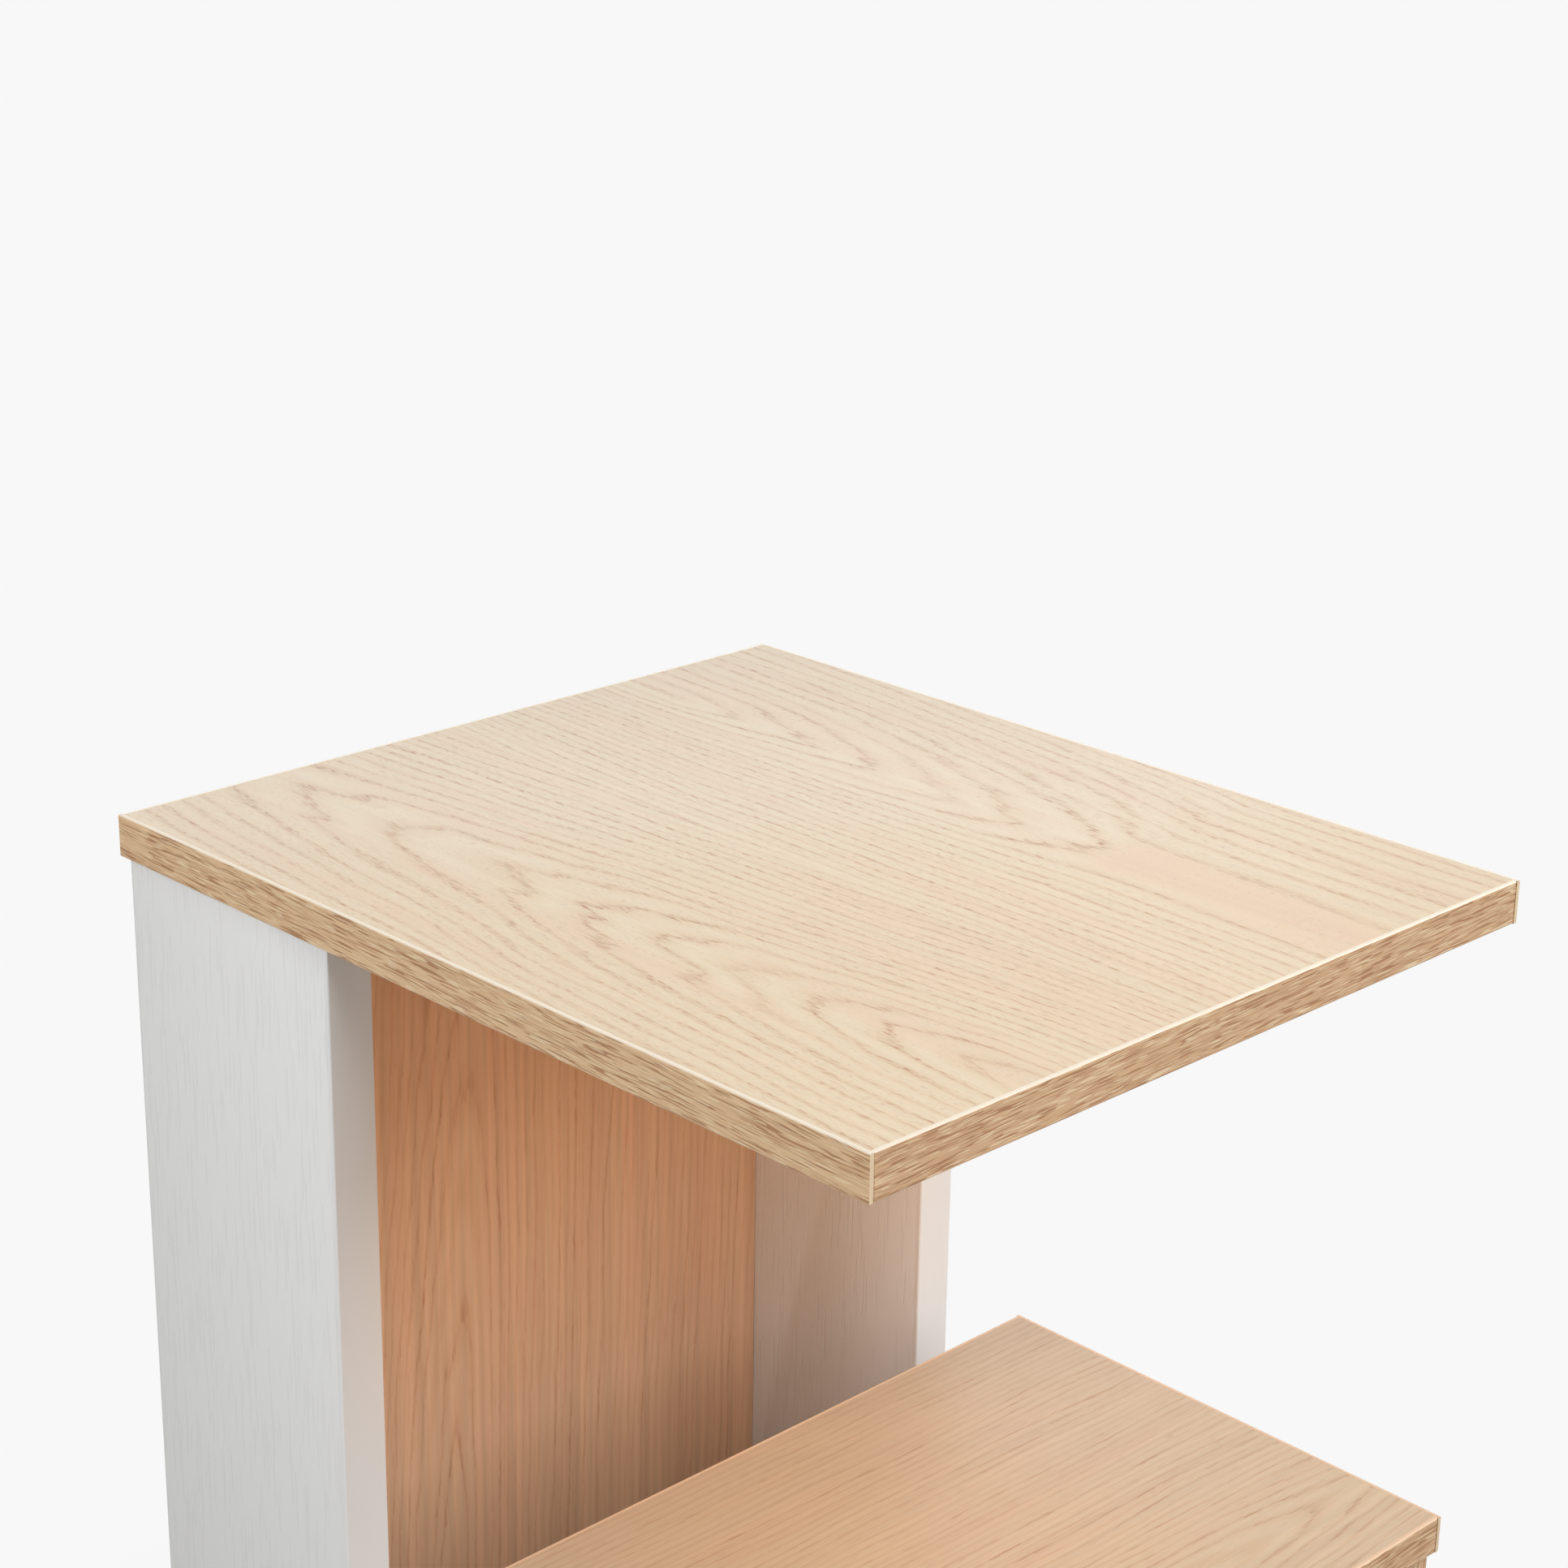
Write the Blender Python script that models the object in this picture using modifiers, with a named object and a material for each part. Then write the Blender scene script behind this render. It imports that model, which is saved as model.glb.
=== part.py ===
"""Two nesting side tables built of edge-banded boards.

The large table is open to the front (-Y): its top reaches forward from two white side
panels with an oak panel set back between them, and two floor runners keep it upright.
The small table stands on the floor between the runners and slides in and out along Y.
Metres, +Z up, X across the front, the origin on the floor under the middle of both tables.
"""

from math import radians

import bmesh
import bpy
from mathutils import Vector

# Large table.
LARGE_WIDTH = 0.382
LARGE_DEPTH = 0.450
LARGE_HEIGHT = 0.600
LARGE_TOP_THICKNESS = 0.019
SIDE_THICKNESS = 0.022
SIDE_DEPTH = 0.140
LARGE_BACK_THICKNESS = 0.018
BACK_INSET = 0.004  # rear face of a back panel to the rear edges of its side panels
RUNNER_HEIGHT = 0.045

# Small table.
SMALL_DEPTH = 0.245
SMALL_HEIGHT = 0.315
SMALL_TOP_THICKNESS = 0.0175
LEG_THICKNESS = 0.018
SMALL_BACK_THICKNESS = 0.016
SMALL_BACK_LIFT = 0.040  # lower edge of the small back panel above the legs' lower ends

# How the two go together.
NEST_CLEARANCE = 0.0035  # on each side of the small table
DRAW_OUT = 0.0085  # small top's front edge ahead of the large top's
REVEAL = 0.003  # a top beyond its supports, all round
GAP = 0.0003  # between pieces that touch
DRILL_LEAD = 0.001  # a hole's cutter starts this far outside the board

# Edge bands.
BAND_THICKNESS = 0.002
BAND_CHAMFER = 0.0004

# Hardware.
GLIDE_HEIGHT = 0.004
LARGE_GLIDE_RADIUS = 0.009
SMALL_GLIDE_RADIUS = 0.0075
GLIDE_END_INSET = 0.025
GLIDE_EDGE = 0.0012
NAIL_RADIUS = 0.0012
NAIL_LENGTH = 0.014
NAIL_POINT = 0.002
CAM_RADIUS = 0.0075
CAM_DEPTH = 0.0135
CAM_REACH = 0.034  # cam centre to the face of the board it pulls on
CAM_FROM_SIDE = 0.080
CAM_FROM_END = 0.090
CAM_BORE_RADIUS = 0.0037
CAM_SLOT_SIZE = (0.002, 0.009, 0.005)
BOLT_HEAD_RADIUS = 0.0033
BOLT_HEAD_LENGTH = 0.0024
BOLT_NECK_LENGTH = 0.0035
BOLT_HEAD_PAST_CENTRE = 0.0005
BOLT_SHANK_RADIUS = 0.0029
BOLT_NECK_RADIUS = 0.0018
BOLT_THREAD_RADIUS = 0.0025
BOLT_THREAD_LENGTH = 0.011
BOLT_POINT = (0.001, 0.002)  # narrower by, over the last
DOWEL_RADIUS = 0.004
DOWEL_IN_TOP = 0.012
DOWEL_IN_PANEL = 0.018
DOWEL_INSET = 0.030
DOWEL_CHAMFER = 0.001
SCREW_HEAD_RADIUS = 0.005
SCREW_HEAD_HEIGHT = 0.004
SCREW_HEAD_TAPER = 0.0008
SCREW_SHANK_RADIUS = 0.0035
SCREW_TIP_RADIUS = 0.0025
SCREW_POINT = 0.004
SCREW_SHOULDER = 0.003
SCREW_IN_PANEL = 0.025
SCREW_INSET = 0.022

ROUND_SIDES = 12
SIDES = (("left", -1), ("right", 1))

# Places that the sizes above settle.
MIDDLE = 0.5 * DRAW_OUT
LARGE_FRONT = MIDDLE - 0.5 * LARGE_DEPTH
LARGE_REAR = MIDDLE + 0.5 * LARGE_DEPTH
LARGE_UNDERSIDE = LARGE_HEIGHT - LARGE_TOP_THICKNESS
SIDE_OUTER = 0.5 * LARGE_WIDTH - REVEAL
SIDE_INNER = SIDE_OUTER - SIDE_THICKNESS
SIDE_REAR = LARGE_REAR - REVEAL
SIDE_FRONT = SIDE_REAR - SIDE_DEPTH
RUNNER_TOP = GLIDE_HEIGHT + RUNNER_HEIGHT
SMALL_HALF_WIDTH = SIDE_INNER - NEST_CLEARANCE
SMALL_FRONT = LARGE_FRONT - DRAW_OUT
SMALL_REAR = SMALL_FRONT + SMALL_DEPTH
SMALL_UNDERSIDE = SMALL_HEIGHT - SMALL_TOP_THICKNESS
LEG_OUTER = SMALL_HALF_WIDTH - REVEAL
LEG_INNER = LEG_OUTER - LEG_THICKNESS
LEG_FRONT = SMALL_FRONT + REVEAL
LEG_REAR = SMALL_REAR - REVEAL

UP = Vector((0, 0, 1))
DOWN = -UP
BACKWARD = Vector((0, 1, 0))
OUTWARD = {"left": Vector((-1, 0, 0)), "right": Vector((1, 0, 0))}


def new_collection(name):
    collection = bpy.data.collections.new(name)
    bpy.context.scene.collection.children.link(collection)
    return collection


def new_material(name, colour, roughness, metallic=0.0):
    material = bpy.data.materials.new(name)
    material.use_nodes = True
    shader = material.node_tree.nodes["Principled BSDF"]
    shader.inputs["Base Color"].default_value = (*colour, 1.0)
    shader.inputs["Roughness"].default_value = roughness
    shader.inputs["Metallic"].default_value = metallic
    return material


def new_empty(name, place):
    empty = bpy.data.objects.new(name, None)
    empty.location = place
    parts.objects.link(empty)
    bpy.context.view_layer.update()
    return empty


def add_object(name, mesh, place, table, collection):
    """An object at a world place, carried by its table's empty."""
    obj = bpy.data.objects.new(name, mesh)
    collection.objects.link(obj)
    obj.parent = table
    obj.location = Vector(place) - table.location
    return obj


def point_along(obj, direction):
    """Turns the object's own +Z to a direction."""
    obj.rotation_mode = "QUATERNION"
    obj.rotation_quaternion = direction.to_track_quat("Z", "Y")


def box_mesh(name, size):
    mesh = bpy.data.meshes.new(name)
    shape = bmesh.new()
    bmesh.ops.create_cube(shape, size=1.0)
    bmesh.ops.scale(shape, vec=size, verts=shape.verts)
    shape.to_mesh(mesh)
    shape.free()
    return mesh


def cylinder_mesh(name, radius, length):
    """A cylinder with one end at its own origin, running along +Z."""
    mesh = bpy.data.meshes.new(name)
    shape = bmesh.new()
    bmesh.ops.create_cone(
        shape, cap_ends=True, segments=ROUND_SIDES, radius1=radius, radius2=radius, depth=length
    )
    bmesh.ops.translate(shape, vec=(0, 0, 0.5 * length), verts=shape.verts)
    shape.to_mesh(mesh)
    shape.free()
    return mesh


def board(name, low, high, material, table, chamfer=0.0):
    """A rectangular board between two corners."""
    low = Vector(low)
    high = Vector(high)
    obj = add_object(name, box_mesh(name, high - low), 0.5 * (low + high), table, parts)
    obj.data.materials.append(material)
    if chamfer:
        bevel = obj.modifiers.new("chamfer", "BEVEL")
        bevel.width = chamfer
        bevel.segments = 1
    return obj


def turned(name, profile, place, direction, material, table):
    """A round piece from its half profile, points (radius, height) from the top end down."""
    mesh = bpy.data.meshes.new(name)
    shape = bmesh.new()
    points = [shape.verts.new((radius, 0, height)) for radius, height in profile]
    for start, end in zip(points, points[1:]):
        shape.edges.new((start, end))
    shape.to_mesh(mesh)
    shape.free()
    obj = add_object(name, mesh, place, table, parts)
    obj.data.materials.append(material)
    point_along(obj, direction)
    screw = obj.modifiers.new("turn", "SCREW")
    screw.steps = ROUND_SIDES
    screw.render_steps = ROUND_SIDES
    screw.use_merge_vertices = True
    screw.merge_threshold = 0.00001
    screw.use_smooth_shade = True
    return obj


def cut(obj, cutter):
    cutter.hide_render = True
    cutter.display_type = "WIRE"
    boolean = obj.modifiers.new("cut", "BOOLEAN")
    boolean.operation = "DIFFERENCE"
    boolean.solver = "EXACT"
    boolean.object = cutter


def drill(obj, mouth, direction, radius, depth):
    """A blind or through hole from its mouth along a direction; it starts just outside."""
    name = f"{obj.name}_drill_{len(obj.modifiers)}"
    start = Vector(mouth) - direction * DRILL_LEAD
    mesh = cylinder_mesh(name, radius, depth + DRILL_LEAD)
    cutter = add_object(name, mesh, start, obj.parent, cutters)
    point_along(cutter, direction)
    cut(obj, cutter)


def banded_top(prefix, half_width, front, rear, low, high, table):
    """An oak board with an edge band on each side. The side bands cap the front and rear ones."""
    inset = BAND_THICKNESS + GAP
    core = board(
        f"{prefix}_top_board",
        (inset - half_width, front + inset, low),
        (half_width - inset, rear - inset, high),
        oak,
        table,
    )
    for place, near, far in (
        ("front", front, front + BAND_THICKNESS),
        ("rear", rear - BAND_THICKNESS, rear),
    ):
        board(
            f"{prefix}_top_band_{place}",
            (inset - half_width, near, low),
            (half_width - inset, far, high),
            oak_band,
            table,
            BAND_CHAMFER,
        )
    for side, sign in SIDES:
        across = sorted((sign * (half_width - BAND_THICKNESS), sign * half_width))
        board(
            f"{prefix}_top_band_{side}",
            (across[0], front, low),
            (across[1], rear, high),
            oak_band,
            table,
            BAND_CHAMFER,
        )
    return core


def banded_upright(name, band_name, across, front, rear, low, high, faces, table):
    """An upright board and the band on its front edge. faces holds their two materials."""
    panel = board(
        name,
        (across[0], front + BAND_THICKNESS + GAP, low),
        (across[1], rear, high),
        faces[0],
        table,
    )
    board(
        band_name,
        (across[0], front, low),
        (across[1], front + BAND_THICKNESS, high),
        faces[1],
        table,
        BAND_CHAMFER,
    )
    return panel


def dowel(name, panel, top, place, table):
    """A glued dowel standing in an upright's upper end and the underside of its top."""
    drill(panel, place, DOWN, DOWEL_RADIUS + GAP, DOWEL_IN_PANEL + GAP)
    drill(top, place, UP, DOWEL_RADIUS + GAP, DOWEL_IN_TOP + GAP)
    end_radius = DOWEL_RADIUS - DOWEL_CHAMFER
    profile = (
        (0, DOWEL_IN_TOP),
        (end_radius, DOWEL_IN_TOP),
        (DOWEL_RADIUS, DOWEL_IN_TOP - DOWEL_CHAMFER),
        (DOWEL_RADIUS, DOWEL_CHAMFER - DOWEL_IN_PANEL),
        (end_radius, -DOWEL_IN_PANEL),
        (0, -DOWEL_IN_PANEL),
    )
    turned(name, profile, place, UP, beech, table)


def cam_joint(name, panel, rear_face, mate, at_mate, direction, table):
    """A cam in the panel's rear face and the bolt it pulls, screwed into the mating board.

    at_mate is on the bolt's axis at the mating board's face; direction points into it.
    """
    centre = Vector(at_mate) - direction * CAM_REACH
    face = Vector((centre.x, rear_face, centre.z))
    drill(panel, face, -BACKWARD, CAM_RADIUS + GAP, CAM_DEPTH + GAP)
    drill(panel, at_mate, -direction, DOWEL_RADIUS, CAM_REACH)
    drill(mate, at_mate, direction, BOLT_THREAD_RADIUS + GAP, BOLT_THREAD_LENGTH + GAP)
    housing = add_object(
        f"{name}_cam", cylinder_mesh(name, CAM_RADIUS, CAM_DEPTH), face, table, parts
    )
    housing.data.materials.append(steel)
    point_along(housing, -BACKWARD)
    bore_depth = CAM_RADIUS + 2 * BOLT_HEAD_LENGTH
    drill(housing, centre + direction * CAM_RADIUS, -direction, CAM_BORE_RADIUS, bore_depth)
    for turn in (0, 90):
        slot_name = f"{name}_slot_{turn}"
        slot = add_object(slot_name, box_mesh(slot_name, CAM_SLOT_SIZE), face, table, cutters)
        slot.rotation_euler = (radians(90), radians(turn), 0)
        cut(housing, slot)
    foot = -CAM_REACH - BOLT_HEAD_PAST_CENTRE
    head_top = foot + BOLT_HEAD_LENGTH
    neck_top = head_top + BOLT_NECK_LENGTH
    profile = (
        (0, BOLT_THREAD_LENGTH),
        (BOLT_THREAD_RADIUS - BOLT_POINT[0], BOLT_THREAD_LENGTH),
        (BOLT_THREAD_RADIUS, BOLT_THREAD_LENGTH - BOLT_POINT[1]),
        (BOLT_THREAD_RADIUS, 0),
        (BOLT_SHANK_RADIUS, 0),
        (BOLT_SHANK_RADIUS, neck_top),
        (BOLT_NECK_RADIUS, neck_top),
        (BOLT_NECK_RADIUS, head_top),
        (BOLT_HEAD_RADIUS, head_top),
        (BOLT_HEAD_RADIUS, foot),
        (0, foot),
    )
    turned(f"{name}_bolt", profile, at_mate, direction, steel, table)


def glide(name, panel, place, radius, table):
    """A nail-in glide under a board's lower end; place is on the floor."""
    seat = Vector(place) + UP * GLIDE_HEIGHT
    drill(panel, seat, UP, NAIL_RADIUS + GAP, NAIL_LENGTH + GAP)
    pad = GLIDE_HEIGHT - GAP
    profile = (
        (0, GLIDE_HEIGHT + NAIL_LENGTH),
        (NAIL_RADIUS, GLIDE_HEIGHT + NAIL_LENGTH - NAIL_POINT),
        (NAIL_RADIUS, pad),
        (radius, pad),
        (radius, GLIDE_EDGE),
        (radius - GLIDE_EDGE, 0),
        (0, 0),
    )
    turned(name, profile, place, UP, plastic, table)


def long_screw(name, runner, panel, place, table):
    """A furniture screw up through a runner into the panel above; place is under the runner."""
    drill(runner, place, UP, SCREW_SHANK_RADIUS + GAP, RUNNER_HEIGHT + GAP)
    drill(runner, place, UP, SCREW_HEAD_RADIUS + GAP, SCREW_HEAD_HEIGHT + 2 * GAP)
    joint = Vector(place) + UP * RUNNER_HEIGHT
    drill(panel, joint, UP, SCREW_TIP_RADIUS + GAP, SCREW_IN_PANEL + 2 * GAP)
    tip = RUNNER_HEIGHT + SCREW_IN_PANEL
    profile = (
        (0, tip),
        (SCREW_TIP_RADIUS, tip - SCREW_POINT),
        (SCREW_TIP_RADIUS, RUNNER_HEIGHT),
        (SCREW_SHANK_RADIUS, RUNNER_HEIGHT - SCREW_SHOULDER),
        (SCREW_SHANK_RADIUS, SCREW_HEAD_HEIGHT),
        (SCREW_HEAD_RADIUS, SCREW_HEAD_HEIGHT - SCREW_HEAD_TAPER),
        (SCREW_HEAD_RADIUS, GAP),
        (0, GAP),
    )
    turned(name, profile, place, UP, steel, table)


def make_large_table():
    table = new_empty("large_table", (0, MIDDLE, 0))
    top = banded_top(
        "large",
        0.5 * LARGE_WIDTH,
        LARGE_FRONT,
        LARGE_REAR,
        LARGE_UNDERSIDE,
        LARGE_HEIGHT,
        table,
    )
    back_rear = SIDE_REAR - BACK_INSET
    back_middle = back_rear - 0.5 * LARGE_BACK_THICKNESS
    back = board(
        "large_back_panel",
        (GAP - SIDE_INNER, back_rear - LARGE_BACK_THICKNESS, RUNNER_TOP + GAP),
        (SIDE_INNER - GAP, back_rear, LARGE_UNDERSIDE - GAP),
        oak,
        table,
    )
    for side, sign in SIDES:
        across = sorted((sign * SIDE_INNER, sign * SIDE_OUTER))
        middle = 0.5 * sum(across)
        panel = banded_upright(
            f"large_side_panel_{side}",
            f"large_side_band_{side}",
            across,
            SIDE_FRONT,
            SIDE_REAR,
            RUNNER_TOP + GAP,
            LARGE_UNDERSIDE - GAP,
            (white, white_band),
            table,
        )
        runner = board(
            f"large_runner_{side}",
            (across[0], LARGE_FRONT + REVEAL, GLIDE_HEIGHT),
            (across[1], SIDE_REAR, RUNNER_TOP),
            white,
            table,
            BAND_CHAMFER,
        )
        for end, y in (
            ("front", LARGE_FRONT + REVEAL + GLIDE_END_INSET),
            ("rear", SIDE_REAR - 0.5 * SIDE_DEPTH),
        ):
            glide(
                f"large_glide_{end}_{side}", runner, (middle, y, 0), LARGE_GLIDE_RADIUS, table
            )
        for end, y in (
            ("front", SIDE_FRONT + SCREW_INSET),
            ("rear", SIDE_REAR - SCREW_INSET),
        ):
            place = (middle, y, GLIDE_HEIGHT)
            long_screw(f"large_runner_screw_{end}_{side}", runner, panel, place, table)
        for end, y in (
            ("front", SIDE_FRONT + DOWEL_INSET),
            ("rear", SIDE_REAR - DOWEL_INSET),
        ):
            place = (middle, y, LARGE_UNDERSIDE)
            dowel(f"large_dowel_{end}_{side}", panel, top, place, table)
        for level, z in (
            ("upper", LARGE_UNDERSIDE - CAM_FROM_END),
            ("lower", RUNNER_TOP + CAM_FROM_END),
        ):
            name = f"large_{level}_{side}"
            at_mate = (sign * SIDE_INNER, back_middle, z)
            cam_joint(name, back, back_rear, panel, at_mate, OUTWARD[side], table)
        at_mate = (sign * (SIDE_INNER - CAM_FROM_SIDE), back_middle, LARGE_UNDERSIDE)
        cam_joint(f"large_top_{side}", back, back_rear, top, at_mate, UP, table)


def make_small_table():
    table = new_empty("small_table", (0, 0.5 * (SMALL_FRONT + SMALL_REAR), 0))
    top = banded_top(
        "small",
        SMALL_HALF_WIDTH,
        SMALL_FRONT,
        SMALL_REAR,
        SMALL_UNDERSIDE,
        SMALL_HEIGHT,
        table,
    )
    back_rear = LEG_REAR - BACK_INSET
    back_middle = back_rear - 0.5 * SMALL_BACK_THICKNESS
    back_low = GLIDE_HEIGHT + SMALL_BACK_LIFT
    back = board(
        "small_back_panel",
        (GAP - LEG_INNER, back_rear - SMALL_BACK_THICKNESS, back_low),
        (LEG_INNER - GAP, back_rear, SMALL_UNDERSIDE - GAP),
        white,
        table,
    )
    for side, sign in SIDES:
        across = sorted((sign * LEG_INNER, sign * LEG_OUTER))
        middle = 0.5 * sum(across)
        leg = banded_upright(
            f"small_leg_{side}",
            f"small_leg_band_{side}",
            across,
            LEG_FRONT,
            LEG_REAR,
            GLIDE_HEIGHT,
            SMALL_UNDERSIDE - GAP,
            (oak, oak_band),
            table,
        )
        for end, y in (
            ("front", LEG_FRONT + GLIDE_END_INSET),
            ("rear", LEG_REAR - GLIDE_END_INSET),
        ):
            glide(f"small_glide_{end}_{side}", leg, (middle, y, 0), SMALL_GLIDE_RADIUS, table)
        for end, y in (
            ("front", LEG_FRONT + DOWEL_INSET),
            ("rear", LEG_REAR - DOWEL_INSET),
        ):
            place = (middle, y, SMALL_UNDERSIDE)
            dowel(f"small_dowel_{end}_{side}", leg, top, place, table)
        at_mate = (sign * LEG_INNER, back_middle, 0.5 * (back_low + SMALL_UNDERSIDE))
        cam_joint(f"small_{side}", back, back_rear, leg, at_mate, OUTWARD[side], table)
    at_mate = (0, back_middle, SMALL_UNDERSIDE)
    cam_joint("small_top", back, back_rear, top, at_mate, UP, table)


for old in list(bpy.data.objects):
    bpy.data.objects.remove(old)
parts = new_collection("nesting_tables")
cutters = new_collection("cutters")
oak = new_material("oak_laminate", (0.72, 0.56, 0.39), 0.45)
oak_band = new_material("oak_edge_band", (0.52, 0.35, 0.20), 0.45)
white = new_material("white_foil", (0.82, 0.82, 0.81), 0.5)
white_band = new_material("white_edge_band", (0.84, 0.84, 0.83), 0.4)
beech = new_material("beech_dowel", (0.62, 0.44, 0.27), 0.7)
steel = new_material("zinc_steel", (0.62, 0.62, 0.62), 0.3, 1.0)
plastic = new_material("glide_plastic", (0.55, 0.55, 0.53), 0.5)
make_large_table()
make_small_table()
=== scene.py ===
"""Looks for the two nesting side tables: laminated oak tops, white foiled supports and fittings."""

from math import pi, radians

import bmesh
import bpy
from mathutils import Matrix, Quaternion, Vector


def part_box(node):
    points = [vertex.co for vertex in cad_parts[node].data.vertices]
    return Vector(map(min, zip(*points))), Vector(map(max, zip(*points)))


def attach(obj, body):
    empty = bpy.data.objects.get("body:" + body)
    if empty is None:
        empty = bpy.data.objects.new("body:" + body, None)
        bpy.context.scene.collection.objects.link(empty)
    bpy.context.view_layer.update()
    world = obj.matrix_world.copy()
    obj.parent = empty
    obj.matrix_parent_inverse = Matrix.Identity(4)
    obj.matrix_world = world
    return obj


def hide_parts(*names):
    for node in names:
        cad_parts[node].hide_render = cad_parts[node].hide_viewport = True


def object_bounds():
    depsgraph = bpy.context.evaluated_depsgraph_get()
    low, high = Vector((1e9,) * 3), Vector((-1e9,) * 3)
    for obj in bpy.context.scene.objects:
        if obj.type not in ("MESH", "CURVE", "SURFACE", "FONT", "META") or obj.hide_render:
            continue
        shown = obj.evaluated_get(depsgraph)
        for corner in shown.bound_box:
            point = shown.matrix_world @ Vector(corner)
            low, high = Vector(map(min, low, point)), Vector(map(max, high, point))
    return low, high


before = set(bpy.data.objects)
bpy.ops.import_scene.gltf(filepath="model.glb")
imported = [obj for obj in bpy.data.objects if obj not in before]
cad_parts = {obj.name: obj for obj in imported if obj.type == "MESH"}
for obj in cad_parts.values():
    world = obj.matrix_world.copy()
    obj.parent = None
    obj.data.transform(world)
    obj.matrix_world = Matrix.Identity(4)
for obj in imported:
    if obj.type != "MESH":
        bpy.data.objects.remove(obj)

CAD_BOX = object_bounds()

X_AXIS = Vector((1, 0, 0))
Y_AXIS = Vector((0, 1, 0))
Z_AXIS = Vector((0, 0, 1))
SIDES = (("left", -1), ("right", 1))
ENDS = ("front", "rear")

# Joinery sizes, in metres.
JOINT_LINE = 0.00004
BAND_ROUND = 0.0008
BAND_ARRIS = 0.0003
PANEL_ARRIS = 0.0008
BOARD_ARRIS = 0.00012
LAMINATE_ARRIS = 0.00005
RUNNER_ARRIS = 0.0006
REAR_BAND = 0.001
REAR_BAND_ARRIS = 0.0005

# Radii of the bores for the fittings, and how far a bore runs past its fitting.
DOWEL_BORE = 0.0043
CAM_BORE = 0.0078
BOLT_BORE = 0.0040
BOLT_PILOT = 0.0028
SCREW_BORE = 0.0038
SCREW_PILOT = 0.0028
SCREW_HEAD_BORE = 0.0053
SCREW_HEAD_SINK = 0.0040
NAIL_BORE = 0.0015
PAST_FITTING = 0.0004
PAST_NAIL = 0.0003
PAST_SURFACE = 0.001

# Details of the fittings.
DOWEL_SIDES = 40
DOWEL_CHAMFER = 0.0009
FLUTE_SHARE = 0.07
FLUTE_STOP = 0.0005
BOLT_THREAD = 0.011
CROSS_HALF_WIDTH = 0.00085
CROSS_REACH = 0.0036
CROSS_DEPTH = 0.0044
BOLT_OPENING = 0.0036
BOLT_OPENING_START = 0.0048
GLIDE_PAD = 0.0037
HEXAGON_RADIUS = 0.0024
HEXAGON_DEPTH = 0.0026

# Mesh settings.
ROUND_STEPS = 48
THREAD_STEPS = 32
SAME_POINT = 0.000001
SAME_PLANE = 0.00001
SMOOTH_ANGLE = radians(38)

# Directions that turn object space to board space: x across the grain, y along it.
GRAIN_ALONG_Y_FLAT = (0, 0, 0)
GRAIN_ALONG_X_FLAT = (0, 0, 90)
GRAIN_UP_FRONT_FACE = (-90, 0, 0)
GRAIN_UP_SIDE_FACE = (90, 90, 0)
GRAIN_ALONG_Y_EDGE = (0, 90, 0)
GRAIN_ALONG_X_EDGE = (90, 0, 90)

# Below 2 the arches of the grain come to more of a point.
FIGURE_POINT = 1.7

STUDIO_WHITE = (248, 248, 248)


# Shader building blocks.


def paint(red, green, blue):
    """A colour from its eight-bit values."""
    linear = []
    for value in (red, green, blue):
        share = value / 255
        linear.append(share / 12.92 if share <= 0.04045 else ((share + 0.055) / 1.055) ** 2.4)
    return (*linear, 1.0)


def add_node(tree, kind, inputs=None, **settings):
    """A node with its settings; inputs maps a socket to a value or to another node's output."""
    node = tree.nodes.new(kind)
    for name, value in settings.items():
        setattr(node, name, value)
    for name, value in (inputs or {}).items():
        if isinstance(value, bpy.types.NodeSocket):
            tree.links.new(value, node.inputs[name])
        else:
            node.inputs[name].default_value = value
    return node


def maths(tree, operation, *values):
    inputs = dict(enumerate(values))
    return add_node(tree, "ShaderNodeMath", inputs, operation=operation).outputs[0]


def times(tree, first, second):
    return maths(tree, "MULTIPLY", first, second)


def minus(tree, first, second):
    return maths(tree, "SUBTRACT", first, second)


def total(tree, *values):
    result = values[0]
    for value in values[1:]:
        result = maths(tree, "ADD", result, value)
    return result


def ramp(tree, value, low, high, kind="SMOOTHSTEP", to_low=0.0, to_high=1.0):
    """The value's place between low and high, held at both ends."""
    inputs = {"Value": value, "From Min": low, "From Max": high}
    inputs["To Min"] = to_low
    inputs["To Max"] = to_high
    node = add_node(tree, "ShaderNodeMapRange", inputs, interpolation_type=kind, clamp=True)
    return node.outputs["Result"]


def blend_colour(tree, share, first, second):
    inputs = {0: share, 6: first, 7: second}
    node = add_node(tree, "ShaderNodeMix", inputs, data_type="RGBA", clamp_factor=True)
    return node.outputs[2]


def scale_colour(tree, colour, share):
    inputs = {0: colour, "Scale": share}
    node = add_node(tree, "ShaderNodeVectorMath", inputs, operation="SCALE")
    return node.outputs["Vector"]


def pick(tree, share, first, second):
    """The first value where share is 0, and the second where it is 1."""
    inputs = {0: share, 2: first, 3: second}
    return add_node(tree, "ShaderNodeMix", inputs, data_type="FLOAT").outputs[0]


def parts_of(tree, vector):
    """The parts of a vector, by the names X, Y and Z."""
    return add_node(tree, "ShaderNodeSeparateXYZ", {"Vector": vector}).outputs


def facing(tree):
    """The parts of the direction that the surface faces."""
    return parts_of(tree, add_node(tree, "ShaderNodeTexCoord").outputs["Normal"])


def speckle(tree, place, across, along, depth, detail=2.0, roughness=0.5):
    """Noise with grains of this size in board space, about 0 to 1."""
    inputs = {"Vector": place, "Scale": (1 / across, 1 / along, 1 / depth)}
    scaled = add_node(tree, "ShaderNodeMapping", inputs)
    inputs = {"Vector": scaled.outputs["Vector"], "Scale": 1.0}
    inputs["Detail"] = detail
    inputs["Roughness"] = roughness
    return add_node(tree, "ShaderNodeTexNoise", inputs).outputs["Fac"]


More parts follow.
